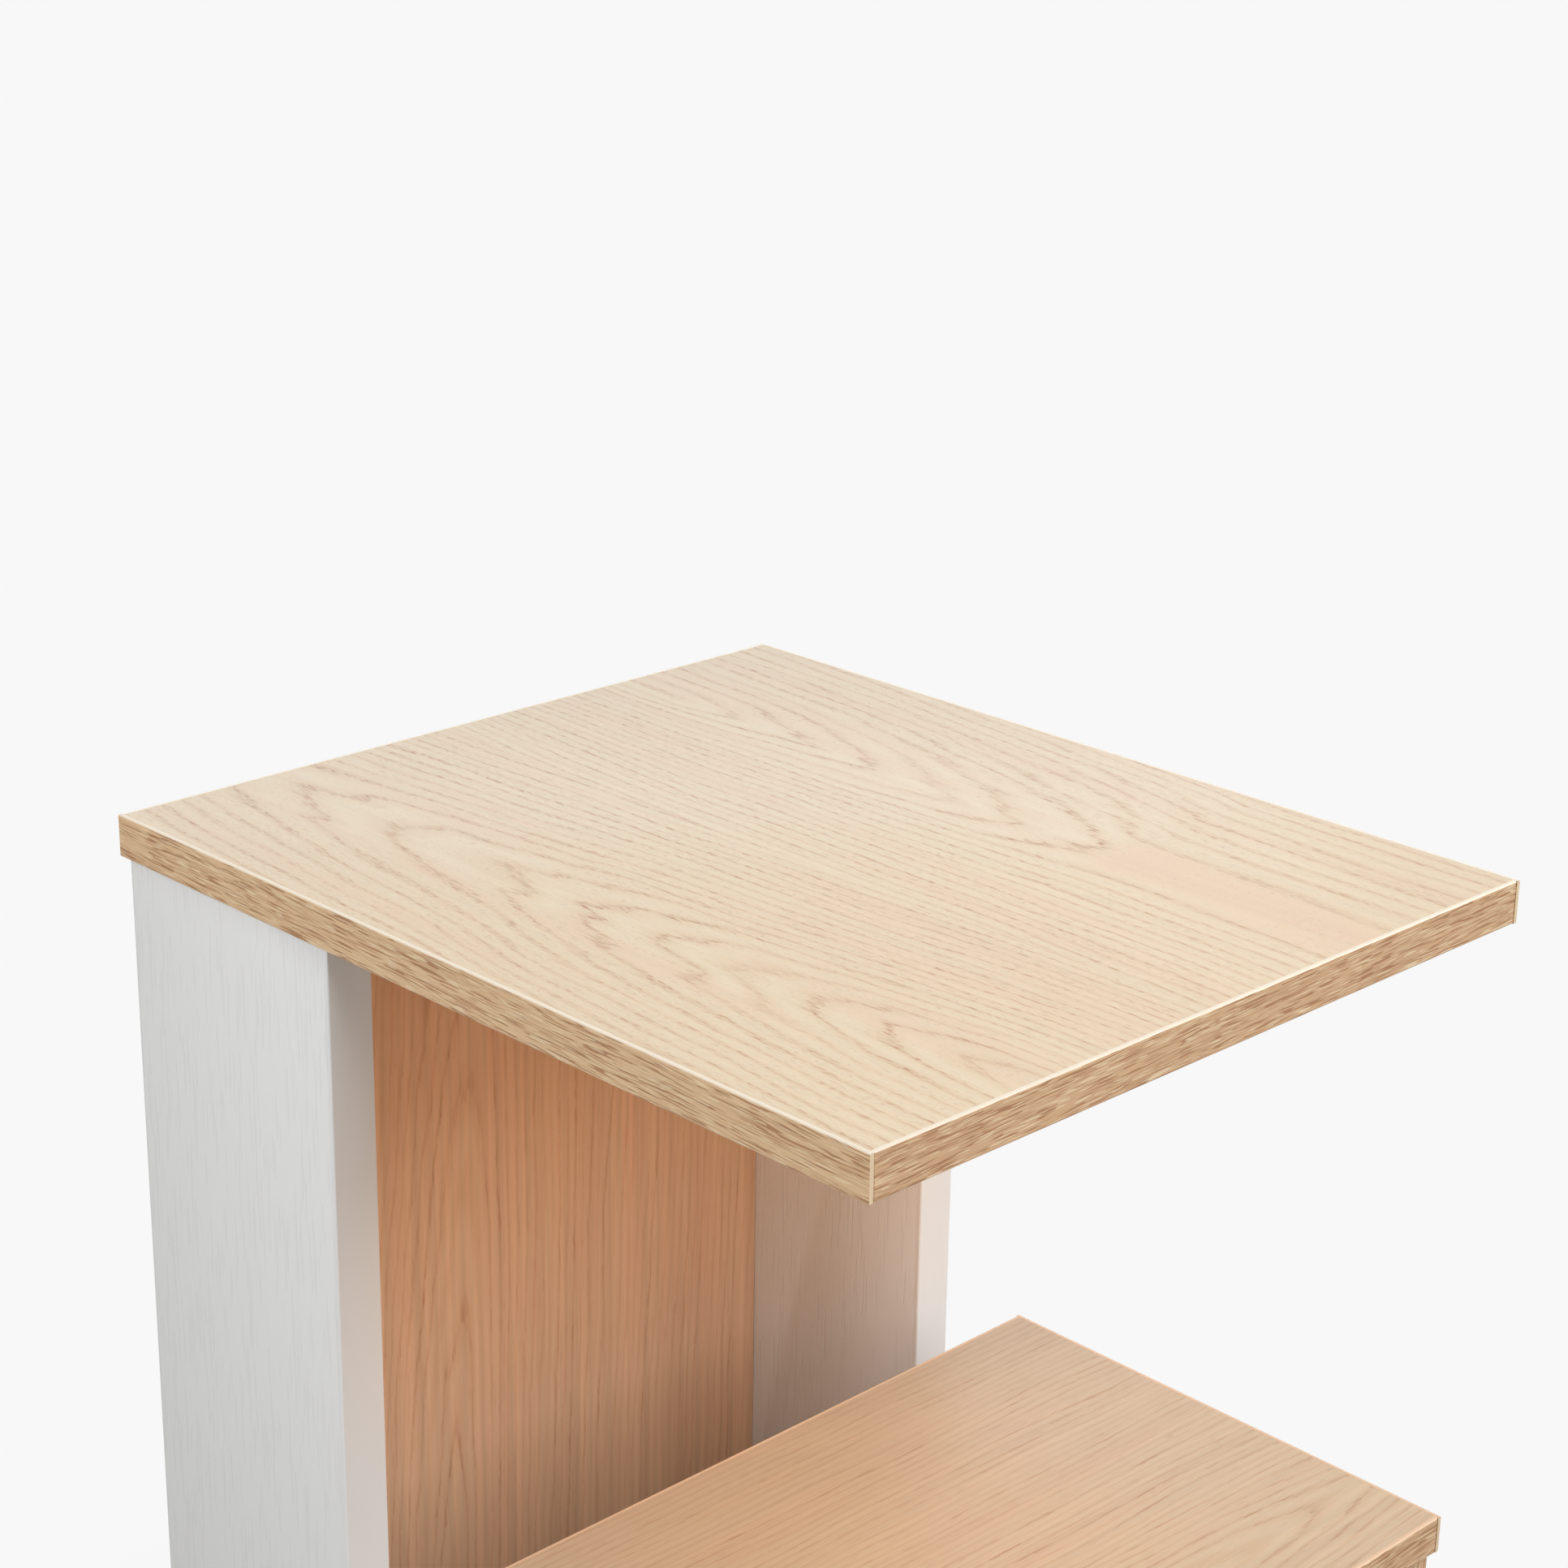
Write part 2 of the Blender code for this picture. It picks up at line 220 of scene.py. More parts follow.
def swing(tree, value, amount):
    """Noise made to swing evenly to both sides of zero."""
    return times(tree, minus(tree, value, 0.5), 2 * amount)


def new_group(name, inputs, outputs):
    """An empty node group. inputs is a dict of name to default, a number, a triple or a colour."""
    group = bpy.data.node_groups.new(name, "ShaderNodeTree")
    for socket, default in inputs.items():
        kind = "NodeSocketFloat"
        if isinstance(default, tuple):
            kind = "NodeSocketVector" if len(default) == 3 else "NodeSocketColor"
        made = group.interface.new_socket(name=socket, in_out="INPUT", socket_type=kind)
        made.default_value = default
    for socket, kind in outputs.items():
        group.interface.new_socket(name=socket, in_out="OUTPUT", socket_type=kind)
    source = group.nodes.new("NodeGroupInput").outputs
    result = group.nodes.new("NodeGroupOutput").inputs
    return group, source, result


def place_group(tree, group, inputs):
    return add_node(tree, "ShaderNodeGroup", inputs, node_tree=group).outputs


def new_material(name, roughness=0.5, metallic=0.0, specular=0.5):
    material = bpy.data.materials.new(name)
    material.use_nodes = True
    tree = material.node_tree
    shader = tree.nodes["Principled BSDF"]
    shader.inputs["Roughness"].default_value = roughness
    shader.inputs["Metallic"].default_value = metallic
    shader.inputs["Specular IOR Level"].default_value = specular
    return material, tree, shader


def board_space(tree, turn=(0, 0, 0), shift=(0, 0, 0)):
    coordinates = add_node(tree, "ShaderNodeTexCoord")
    inputs = {"Vector": coordinates.outputs["Object"], "Location": shift}
    inputs["Rotation"] = tuple(radians(angle) for angle in turn)
    return add_node(tree, "ShaderNodeMapping", inputs).outputs["Vector"]


def dress(tree, shader, colour, height, depth, strength, rough=None):
    """Gives a shader its colour, its fine relief and, where that varies, its roughness."""
    tree.links.new(colour, shader.inputs["Base Color"])
    if rough is not None:
        tree.links.new(rough, shader.inputs["Roughness"])
    inputs = {"Height": height, "Distance": depth, "Strength": strength}
    bump = add_node(tree, "ShaderNodeBump", inputs)
    tree.links.new(bump.outputs["Normal"], shader.inputs["Normal"])


# Node groups.


def make_cathedral_group():
    """Growth rings of one arched figure: a count that rises by one at each ring, and how much
    of a ring its porous line takes up."""
    group, source, result = new_group(
        "cathedral_figure",
        {
            "Across": 0.0,
            "Along": 0.0,
            "Axis": 0.0,
            "Lean": 0.0,
            "Skew": 0.0,
            "Start": 0.0,
            "Pitch": 0.045,
            "Slow After": 50.0,
            "Slow": 1.0,
            "Most": 50.0,
            "Spacing": 0.0066,
            "Fine After": 0.028,
            "Fine": 0.8,
        },
        {"Rings": "NodeSocketFloat", "Line": "NodeSocketFloat"},
    )
    lean = times(group, source["Along"], source["Lean"])
    offset = minus(group, source["Across"], total(group, source["Axis"], lean))
    skewed = times(group, offset, source["Skew"])
    offset = minus(group, maths(group, "ABSOLUTE", offset), skewed)
    count = minus(group, source["Along"], source["Start"])
    count = maths(group, "DIVIDE", count, source["Pitch"])
    beyond = minus(group, count, source["Slow After"])
    beyond = times(group, maths(group, "MAXIMUM", beyond, 0.0), source["Slow"])
    count = total(group, maths(group, "MINIMUM", count, source["Slow After"]), beyond)
    count = maths(group, "MINIMUM", maths(group, "MAXIMUM", count, 0.0), source["Most"])
    fine = maths(group, "MAXIMUM", minus(group, offset, source["Fine After"]), 0.0)
    fine = times(group, fine, source["Fine"])
    width = maths(group, "DIVIDE", total(group, offset, fine), source["Spacing"])
    summed = total(
        group,
        maths(group, "POWER", width, FIGURE_POINT),
        maths(group, "POWER", count, FIGURE_POINT),
    )
    group.links.new(maths(group, "POWER", summed, 1 / FIGURE_POINT), result["Rings"])
    line = ramp(group, offset, 0.012, 0.036, "SMOOTHSTEP", 0.27, 0.40)
    group.links.new(line, result["Line"])
    return group


def ring_line(group, part, start, size):
    """1 at the sharp inner side of a ring's porous line, fading towards its outer side."""
    past = minus(group, part, start)
    share = maths(group, "DIVIDE", past, size)
    fading = ramp(group, share, 0.35, 1.0, "SMOOTHSTEP", 1.0, 0.0)
    return times(group, ramp(group, past, 0.0, 0.04), fading)


def make_oak_group():
    """Oak laminate in board space: each ring starts in a line of dark pores and ends pale."""
    group, source, result = new_group(
        "oak_laminate",
        {
            "Board": (0.0, 0.0, 0.0),
            "Grain": (0.0, 0.0, 0.0),
            "Rings": 0.0,
            "Line": 0.25,
            "Pale": (0.8, 0.7, 0.5, 1.0),
            "Tan": (0.7, 0.6, 0.4, 1.0),
            "Pore": (0.5, 0.35, 0.2, 1.0),
            "Blush": (0.8, 0.6, 0.5, 1.0),
            "Dashes": 0.58,
            "Lines": 0.12,
            "Arches": 0.32,
            "Streaks": 0.035,
            "Heart": 0.0,
            "Faint": 0.55,
        },
        {"Color": "NodeSocketColor", "Roughness": "NodeSocketFloat", "Height": "NodeSocketFloat"},
    )
    board = source["Board"]
    grain = source["Grain"]
    part = maths(group, "FRACT", source["Rings"])
    plain = minus(group, 1.0, source["Heart"])

    # How dark each ring's porous line is: by chance, from place to place and beside the arches.
    number = maths(group, "FLOOR", source["Rings"])
    chance = add_node(group, "ShaderNodeTexWhiteNoise", {"W": number}, noise_dimensions="1D")
    strength = ramp(group, chance.outputs["Value"], 0.0, 1.0, "LINEAR", source["Faint"], 1.0)
    strength = times(group, strength, plain)
    patch = speckle(group, board, 0.0050, 0.024, 0.02, 1.0)
    patch = ramp(group, patch, 0.36, 0.56, "LINEAR", 0.45, 1.0)
    strength = times(group, strength, patch)
    beside = ramp(group, source["Line"], 0.22, 0.38)
    porous = times(group, ring_line(group, part, 0.0, source["Line"]), strength)
    between = times(group, ring_line(group, part, 0.48, source["Line"]), strength)
    between = times(group, between, times(group, beside, 0.40))
    porous = maths(group, "MAXIMUM", porous, between)

    # Pores: dashes in the porous lines, and small dots nearly everywhere.
    dashes = ramp(group, speckle(group, grain, 0.00075, 0.0056, 0.002, 0.0), 0.48, 0.60)
    dots = ramp(group, speckle(group, grain, 0.00050, 0.0034, 0.001, 0.0), 0.60, 0.74)
    everywhere = speckle(group, board, 0.003, 0.060, 0.02, 1.0)
    everywhere = ramp(group, everywhere, 0.40, 0.65, "LINEAR", 0.02, 0.55)
    pores = total(group, times(group, dashes, porous), times(group, dots, everywhere))

    # Pale late wood between the lines, a blush in wide streaks, and then the dark of the pores.
    middle = maths(group, "ABSOLUTE", minus(group, part, 0.62))
    pale = times(group, ramp(group, middle, 0.0, 0.38, "SMOOTHSTEP", 1.0, 0.0), plain)
    colour = blend_colour(group, pale, source["Tan"], source["Pale"])
    tint = ramp(group, speckle(group, board, 0.018, 0.400, 0.05), 0.44, 0.66)
    tint = maths(group, "MAXIMUM", times(group, tint, 0.42), source["Heart"])
    colour = blend_colour(group, tint, colour, source["Blush"])
    solid = pick(group, beside, source["Arches"], source["Lines"])
    stain = total(group, times(group, porous, solid), times(group, pores, source["Dashes"]))
    colour = blend_colour(group, stain, colour, source["Pore"])
    fibre = speckle(group, board, 0.0008, 0.160, 0.01, 3.0, 0.6)
    streak = swing(group, speckle(group, board, 0.0045, 0.400, 0.03), 1.0)
    streak = times(group, streak, source["Streaks"])
    shade = total(group, swing(group, fibre, 0.055), streak, 1.0)
    group.links.new(scale_colour(group, colour, shade), result["Color"])

    rough = total(group, swing(group, fibre, 0.05), times(group, pores, 0.12), 0.44)
    group.links.new(rough, result["Roughness"])
    height = minus(group, times(group, fibre, 0.35), pores)
    group.links.new(height, result["Height"])
    return group


def make_band_group():
    """Oak edge band in board space: long dark pores and pale flecks, a little off the square."""
    group, source, result = new_group(
        "oak_edge_band",
        {
            "Board": (0.0, 0.0, 0.0),
            "Base": (0.6, 0.4, 0.2, 1.0),
            "Dark": (0.4, 0.2, 0.1, 1.0),
            "Fleck": (0.8, 0.6, 0.4, 1.0),
        },
        {"Color": "NodeSocketColor", "Height": "NodeSocketFloat"},
    )
    board = source["Board"]
    inputs = {"Vector": board, "Rotation": (0.0, 0.0, radians(1.6))}
    sloped = add_node(group, "ShaderNodeMapping", inputs).outputs["Vector"]
    wave = swing(group, speckle(group, board, 0.006, 0.050, 0.02, 1.0), 0.0014)
    waved = add_node(group, "ShaderNodeCombineXYZ", {"X": wave}).outputs[0]
    moved = add_node(group, "ShaderNodeVectorMath", {0: sloped, 1: waved}).outputs["Vector"]
    dark = ramp(group, speckle(group, moved, 0.00066, 0.0170, 0.004, 0.0), 0.57, 0.63)
    fleck = ramp(group, speckle(group, moved, 0.00048, 0.0100, 0.003, 0.0), 0.61, 0.69)
    line = ramp(group, speckle(group, moved, 0.0013, 0.1300, 0.01, 1.0), 0.40, 0.70)
    cloud = speckle(group, board, 0.006, 0.050, 0.02)
    colour = blend_colour(group, times(group, line, 0.30), source["Base"], source["Dark"])
    colour = blend_colour(group, times(group, dark, 0.72), colour, source["Dark"])
    colour = blend_colour(group, times(group, fleck, 0.75), colour, source["Fleck"])
    shade = total(group, swing(group, cloud, 0.06), 1.0)
    group.links.new(scale_colour(group, colour, shade), result["Color"])
    height = minus(group, times(group, fleck, 0.3), dark)
    group.links.new(height, result["Height"])
    return group


def make_arris_group():
    """Where a band turns up or down from its face, which takes its paler core and a painted
    highlight, and where it shows its cut end.
    """
    group, source, result = new_group(
        "arris_core_and_highlight",
        {"Low": 0.12, "High": 0.40},
        {"Top": "NodeSocketFloat", "Bottom": "NodeSocketFloat", "Turn": "NodeSocketFloat"},
    )
    parts = facing(group)
    below = times(group, parts["Z"], -1.0)
    for height, name in ((parts["Z"], "Top"), (below, "Bottom")):
        group.links.new(ramp(group, height, source["Low"], source["High"]), result[name])
    group.links.new(maths(group, "ABSOLUTE", parts["Y"]), result["Turn"])
    return group


def make_chipboard_group():
    """Raw particle board where an edge carries no band."""
    group, source, result = new_group(
        "chipboard_core",
        {"Color": (0.7, 0.6, 0.4, 1.0), "Share": 0.0},
        {"Color": "NodeSocketColor"},
    )
    place = add_node(group, "ShaderNodeTexCoord").outputs["Object"]
    inputs = {"Vector": place, "Scale": 420.0, "Randomness": 1.0}
    chips = add_node(group, "ShaderNodeTexVoronoi", inputs).outputs["Color"]
    tone = add_node(group, "ShaderNodeSeparateColor", {"Color": chips}).outputs
    chip = blend_colour(group, tone["Red"], paint(150, 118, 82), paint(206, 176, 134))
    chip = blend_colour(group, ramp(group, tone["Green"], 0.86, 0.90), chip, paint(98, 70, 46))
    colour = blend_colour(group, source["Share"], source["Color"], chip)
    group.links.new(colour, result["Color"])
    return group


CATHEDRAL = make_cathedral_group()
OAK = make_oak_group()
OAK_BAND = make_band_group()
ARRIS = make_arris_group()
CHIPBOARD = make_chipboard_group()


# Materials.


def figure_rings(tree, board, parts, figures):
    """Ring count and line width of a board: at each point, the figure whose heart is nearest."""
    drift = swing(tree, speckle(tree, board, 0.060, 0.160, 0.2, 1.0), 0.030)
    zigzag = swing(tree, speckle(tree, board, 0.0100, 0.080, 0.02), 0.034)
    feather = swing(tree, speckle(tree, board, 0.0010, 0.014, 0.005), 0.0090)
    along = total(tree, parts["Y"], drift, zigzag, feather)
    bend = swing(tree, speckle(tree, board, 0.045, 0.150, 0.1, 1.0), 0.0050)
    ripple = swing(tree, speckle(tree, board, 0.0060, 0.040, 0.02, 1.0), 0.0012)
    fray = swing(tree, speckle(tree, board, 0.0006, 0.006, 0.005, 0.0), 0.0006)
    across = total(tree, parts["X"], bend, ripple, fray)
    rings = None
    for figure in figures:
        found = place_group(tree, CATHEDRAL, {"Across": across, "Along": along, **figure})
        if rings is None:
            rings = found["Rings"]
            line = found["Line"]
        else:
            nearer = maths(tree, "LESS_THAN", found["Rings"], rings)
            rings = maths(tree, "MINIMUM", rings, found["Rings"])
            line = pick(tree, nearer, line, found["Line"])
    return rings, line


def raw_below(tree, colour):
    """The colour, but raw particle board on a cut edge that points to the floor."""
    down = ramp(tree, facing(tree)["Z"], -0.9, -0.98)
    return place_group(tree, CHIPBOARD, {"Color": colour, "Share": down})["Color"]


def oak_material(
    name,
    turn,
    figures,
    colours,
    strengths,
    coarse=(1.0, 1.0),
    heart=None,
    drift=0.0,
    raw=False,
):
    """Oak laminate of one board. coarse is how much wider and longer its pores are, drift is a
    painted sheen, how much lighter its left side is painted than its middle, and raw is for a board
    with no band below."""
    material, tree, shader = new_material(name)
    board = board_space(tree, turn)
    parts = parts_of(tree, board)
    scale = (1 / coarse[0], 1 / coarse[1], 1.0)
    grain = add_node(tree, "ShaderNodeMapping", {"Vector": board, "Scale": scale})
    rings, line = figure_rings(tree, board, parts, figures)
    inputs = {
        "Board": board,
        "Grain": grain.outputs["Vector"],
        "Rings": rings,
        "Line": line,
        **colours,
        **strengths,
    }
    if heart:
        inputs["Heart"] = heart(tree, parts["X"], parts["Y"])
    oak = place_group(tree, OAK, inputs)
    colour = oak["Color"]
    # Painted sheen: the board is painted lighter on its left and darker on its right, by drift.
    if drift:
        tone = ramp(tree, parts["X"], -0.19, 0.19, "LINEAR", 1.0 + drift, 1.0 - drift)
        colour = scale_colour(tree, colour, tone)
    if raw:
        colour = raw_below(tree, colour)
    dress(tree, shader, colour, oak["Height"], 0.00006, 0.5, oak["Roughness"])
    return material


def open_heart(tree, across, along):
    """The plain pinkish heart that the second figure of the large top opens into."""
    offset = maths(tree, "ABSOLUTE", minus(tree, across, 0.090))
    narrowing = ramp(tree, along, -0.230, -0.080, "LINEAR", 0.010, 0.0)
    offset = maths(tree, "ADD", offset, narrowing)
    inside = ramp(tree, offset, 0.012, 0.026, "SMOOTHSTEP", 1.0, 0.0)
    front = ramp(tree, along, -0.100, -0.070, "SMOOTHSTEP", 1.0, 0.0)
    return times(tree, times(tree, inside, front), 0.8)


def oak_band_material(name, turn, shift, base, edge, ends=False):
    """Oak edge band, pale along its arrises, partly its scraped core and partly a painted
    highlight; ends is for bands that show a cut end.
    """
    material, tree, shader = new_material(name, roughness=0.42)
    inputs = {"Board": board_space(tree, turn, shift), "Base": base}
    inputs["Dark"] = paint(164, 112, 72)
    inputs["Fleck"] = paint(242, 218, 180)
    band = place_group(tree, OAK_BAND, inputs)
    arris = place_group(tree, ARRIS, {"Low": 0.42, "High": 0.82})
    colour = band["Color"]
    if ends:
        corner = ramp(tree, arris["Turn"], 0.06, 0.30, "SMOOTHSTEP", 0.0, 0.8)
        colour = blend_colour(tree, corner, colour, paint(156, 112, 74))
        cut = ramp(tree, arris["Turn"], 0.93, 0.99)
        colour = blend_colour(tree, cut, colour, paint(232, 208, 172))
    # The arrises: partly the band's paler scraped core, partly a painted highlight of the lamps on
    # the rounding.
    colour = blend_colour(tree, times(tree, arris["Bottom"], 0.55), colour, edge)
    colour = blend_colour(tree, arris["Top"], colour, edge)
    dress(tree, shader, colour, band["Height"], 0.00004, 0.4)
    return material


def white_foil_material(name, turn, raw=False):
    """White foil pressed with a fine straight grain."""
    material, tree, shader = new_material(name)
    board = board_space(tree, turn)
    fibre = speckle(tree, board, 0.0011, 0.060, 0.01, 2.0, 0.6)
    groove = ramp(tree, speckle(tree, board, 0.0016, 0.035, 0.01, 1.0), 0.56, 0.66)
    cloud = speckle(tree, board, 0.05, 0.2, 0.1, 1.0)
    tone = total(tree, swing(tree, fibre, 0.08), times(tree, groove, 0.28), 0.30)
    colour = blend_colour(tree, tone, paint(241, 241, 240), paint(224, 224, 224))
    colour = blend_colour(tree, times(tree, cloud, 0.4), colour, paint(238, 237, 234))
    if raw:
        colour = raw_below(tree, colour)
    rough = total(tree, swing(tree, fibre, 0.08), 0.46)
    height = minus(tree, times(tree, fibre, 0.6), groove)
    dress(tree, shader, colour, height, 0.00016, 0.7, rough)
    return material


def white_band_material():
    material, tree, shader = new_material("white_edge_band")
    place = board_space(tree)
    fine = speckle(tree, place, 0.0006, 0.0006, 0.0006)
    cloud = speckle(tree, place, 0.03, 0.03, 0.06, 1.0)
    colour = blend_colour(tree, cloud, paint(240, 239, 237), paint(236, 236, 235))
    rough = total(tree, swing(tree, cloud, 0.05), 0.40)
    dress(tree, shader, colour, fine, 0.00002, 0.4, rough)
    return material


def beech_material():
    material, tree, shader = new_material("beech_dowel")
    board = board_space(tree, GRAIN_UP_FRONT_FACE)
    fibre = speckle(tree, board, 0.0004, 0.012, 0.0004, 3.0)
    fleck = ramp(tree, speckle(tree, board, 0.0004, 0.0015, 0.0004, 1.0), 0.62, 0.70)
    colour = blend_colour(tree, fibre, paint(222, 184, 140), paint(196, 152, 106))
    colour = blend_colour(tree, times(tree, fleck, 0.6), colour, paint(150, 104, 66))
    rough = total(tree, swing(tree, fibre, 0.1), 0.65)
    dress(tree, shader, colour, fibre, 0.00006, 0.5, rough)
    return material


def zinc_material():
    """Zinc plate with cloudy spangle and fine handling marks."""
    material, tree, shader = new_material("zinc_steel", metallic=1.0)
    place = board_space(tree)
    cloud = speckle(tree, place, 0.004, 0.004, 0.004, 3.0)
    grain = speckle(tree, place, 0.0003, 0.0003, 0.0003)
    scratch = ramp(tree, speckle(tree, place, 0.0002, 0.004, 0.002, 1.0), 0.60, 0.68)
    colour = blend_colour(tree, cloud, paint(196, 198, 202), paint(158, 160, 164))
    rough = total(tree, swing(tree, cloud, 0.12), times(tree, scratch, 0.12), 0.36)
    dress(tree, shader, colour, total(tree, grain, scratch), 0.00002, 0.3, rough)
    return material


def glide_material():
    material, tree, shader = new_material("glide_plastic")
    place = board_space(tree)
    grain = speckle(tree, place, 0.0005, 0.0005, 0.0005, 3.0)
    cloud = speckle(tree, place, 0.006, 0.006, 0.006)
    colour = blend_colour(tree, cloud, paint(206, 204, 198), paint(186, 184, 178))
    rough = total(tree, swing(tree, cloud, 0.1), 0.5)
    dress(tree, shader, colour, grain, 0.00003, 0.4, rough)
    return material


def painted_light_tone(colours, red, green, blue):
    """The same print with painted light: its darker, warmer copies are painted shade and warm
    bounce.
    """
    return {
        name: (colour[0] * red, colour[1] * green, colour[2] * blue, 1.0)
        for name, colour in colours.items()
    }


OAK_COLOURS = {
    "Pale": paint(230, 209, 180),
    "Tan": paint(226, 201, 170),
    "Pore": paint(174, 112, 78),
    "Blush": paint(228, 196, 168),
}
# Arris colours: partly the bands' paler core, partly a painted highlight; the tan one is dimmer,
# for the small table's bands, which stand in shade.
PALE_CORE_AND_HIGHLIGHT = paint(238, 225, 205)
TAN_CORE_AND_HIGHLIGHT = paint(222, 188, 156)
TAN_BAND = paint(218, 178, 138)
LARGE_TOP_FIGURES = (
    {
        "Axis": -0.110,
        "Skew": -0.12,
        "Start": -0.232,
        "Pitch": 0.0404,
        "Slow After": 7.0,
        "Slow": 0.54,
        "Spacing": 0.0076,
        "Fine": 0.30,
    },
    {
        "Axis": 0.090,
        "Lean": 0.050,
        "Skew": 0.20,
        "Start": 0.190,
        "Pitch": -0.0450,
        "Most": 6.3,
        "Spacing": 0.0074,
        "Fine": 0.10,
    },
)
SMALL_TOP_FIGURES = (
    {
        "Axis": 0.190,
        "Start": -0.100,
        "Pitch": 0.045,
        "Spacing": 0.0042,
        "Fine": 0.0,
    },
)
BACK_FIGURES = (
    {
        "Axis": -0.050,
        "Lean": 0.06,
        "Start": 0.100,
        "Pitch": 0.068,
        "Spacing": 0.0050,
        "Fine": 0.0,
    },
)
LEG_FIGURES = (
    {
        "Axis": -0.090,
        "Start": -0.400,
        "Pitch": 0.070,
        "Spacing": 0.0066,
        "Fine": 0.0,
    },
)

MATERIALS = {
    "large_top": oak_material(
        "oak_laminate_large_top",
        GRAIN_ALONG_Y_FLAT,
        LARGE_TOP_FIGURES,
        painted_light_tone(OAK_COLOURS, 0.975, 1.02, 1.05),
        {"Dashes": 0.45, "Lines": 0.11, "Arches": 0.27, "Streaks": 0.05, "Faint": 0.40},
        heart=open_heart,
        # drift paints a sheen: the large top lighter on its left, darker on its right.
        drift=0.045,
    ),
    "small_top": oak_material(
        "oak_laminate_small_top",
        GRAIN_ALONG_X_FLAT,
        SMALL_TOP_FIGURES,
        # Painted shade and warm bounce: the small top, in the shade of the large top, is the same
        # print darker and warmer.
        painted_light_tone(OAK_COLOURS, 0.775, 0.73, 0.69),
        {"Dashes": 0.28, "Lines": 0.18, "Arches": 0.26, "Streaks": 0.11, "Faint": 0.15},
        coarse=(1.0, 3.0),
    ),
    "back": oak_material(
        "oak_laminate_back_panel",
        GRAIN_UP_FRONT_FACE,
        BACK_FIGURES,
        # Painted shade and warm bounce: the back panel in the recess is the same print darker and
        # redder.
        painted_light_tone(OAK_COLOURS, 0.98, 0.81, 0.73),
        {"Dashes": 0.20, "Lines": 0.24, "Arches": 0.32, "Streaks": 0.24, "Faint": 0.05},
        coarse=(1.3, 4.0),
        raw=True,
    ),
    "leg": oak_material(
        "oak_laminate_leg",
        GRAIN_UP_SIDE_FACE,
        LEG_FIGURES,
        # Painted shade: the small table's legs stand in shade, so they are the same print darker
        # and warmer.
        painted_light_tone(OAK_COLOURS, 0.92, 0.78, 0.68),
        {"Dashes": 0.30, "Lines": 0.34, "Arches": 0.36, "Streaks": 0.10},
        raw=True,
    ),
    "large_band_side": oak_band_material(
        "oak_band_large_side",
        GRAIN_ALONG_Y_EDGE,
        (0.31, 0.0, 0.0),
        paint(230, 194, 152),
        PALE_CORE_AND_HIGHLIGHT,
        ends=True,
    ),
    "large_band_front": oak_band_material(
        "oak_band_large_front",
        GRAIN_ALONG_X_EDGE,
        (0.17, 0.5, 0.0),
        TAN_BAND,
        PALE_CORE_AND_HIGHLIGHT,
    ),
    "small_band_side": oak_band_material(
        "oak_band_small_side",
        GRAIN_ALONG_Y_EDGE,
        (0.47, 0.2, 0.0),
        TAN_BAND,
        TAN_CORE_AND_HIGHLIGHT,
        ends=True,
    ),
    "small_band_front": oak_band_material(
        "oak_band_small_front",
        GRAIN_ALONG_X_EDGE,
        (0.23, 0.7, 0.0),
        TAN_BAND,
        TAN_CORE_AND_HIGHLIGHT,
    ),
    "leg_band": oak_band_material(
        "oak_band_leg",
        GRAIN_UP_FRONT_FACE,
        (0.0, 0.9, 0.0),
        paint(216, 176, 136),
        TAN_CORE_AND_HIGHLIGHT,
    ),
    "white_up": white_foil_material("white_foil_upright", GRAIN_UP_SIDE_FACE, raw=True),
    "white_back": white_foil_material("white_foil_back", GRAIN_UP_FRONT_FACE, raw=True),
    "white_runner": white_foil_material("white_foil_runner", GRAIN_ALONG_Y_EDGE),
    "white_band": white_band_material(),
    "beech": beech_material(),
    "zinc": zinc_material(),
    "glide": glide_material(),
}


# Shapes.


def finish_piece(name, shape, material, body, replaced=()):
    """The shape as a piece of the object, smooth over its rounded edges and flat elsewhere."""
    bmesh.ops.remove_doubles(shape, verts=shape.verts, dist=SAME_POINT)
    bmesh.ops.recalc_face_normals(shape, faces=shape.faces)
    mesh = bpy.data.meshes.new(name)
    shape.to_mesh(mesh)
    shape.free()
    piece = bpy.data.objects.new(name, mesh)
    bpy.context.scene.collection.objects.link(piece)
    settle_shading(mesh)
    mesh.materials.append(MATERIALS[material])
    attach(piece, body)
    if replaced:
        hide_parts(*replaced)
    return piece


def settle_shading(mesh):
    mesh.shade_smooth()
    mesh.set_sharp_from_angle(angle=SMOOTH_ANGLE)


def block(low, high):
    shape = bmesh.new()
    bmesh.ops.create_cube(shape, size=1.0)
    low = Vector(low)
    high = Vector(high)
    bmesh.ops.scale(shape, vec=high - low, verts=shape.verts)
    bmesh.ops.translate(shape, vec=0.5 * (low + high), verts=shape.verts)
    return shape


def round_edges(shape, chosen, radius, segments):
    edges = [edge for edge in shape.edges if chosen(edge)]
    bmesh.ops.bevel(
        shape,
        geom=edges,
        offset=radius,
        offset_type="OFFSET",
        segments=segments,
        profile=0.5,
        affect="EDGES",
        material=-1,
    )


def edge_runs(edge, axis):
    direction = (edge.verts[1].co - edge.verts[0].co).normalized()
    return abs(direction.dot(axis)) > 0.99


def edges_at(axis, place, along=None):
    """Chooses the edges at this place on an axis; with along, only those that run that way."""

    def chosen(edge):
        level = all(abs(vert.co.dot(axis) - place) < SAME_PLANE for vert in edge.verts)
        return level and (along is None or edge_runs(edge, along))

    return chosen


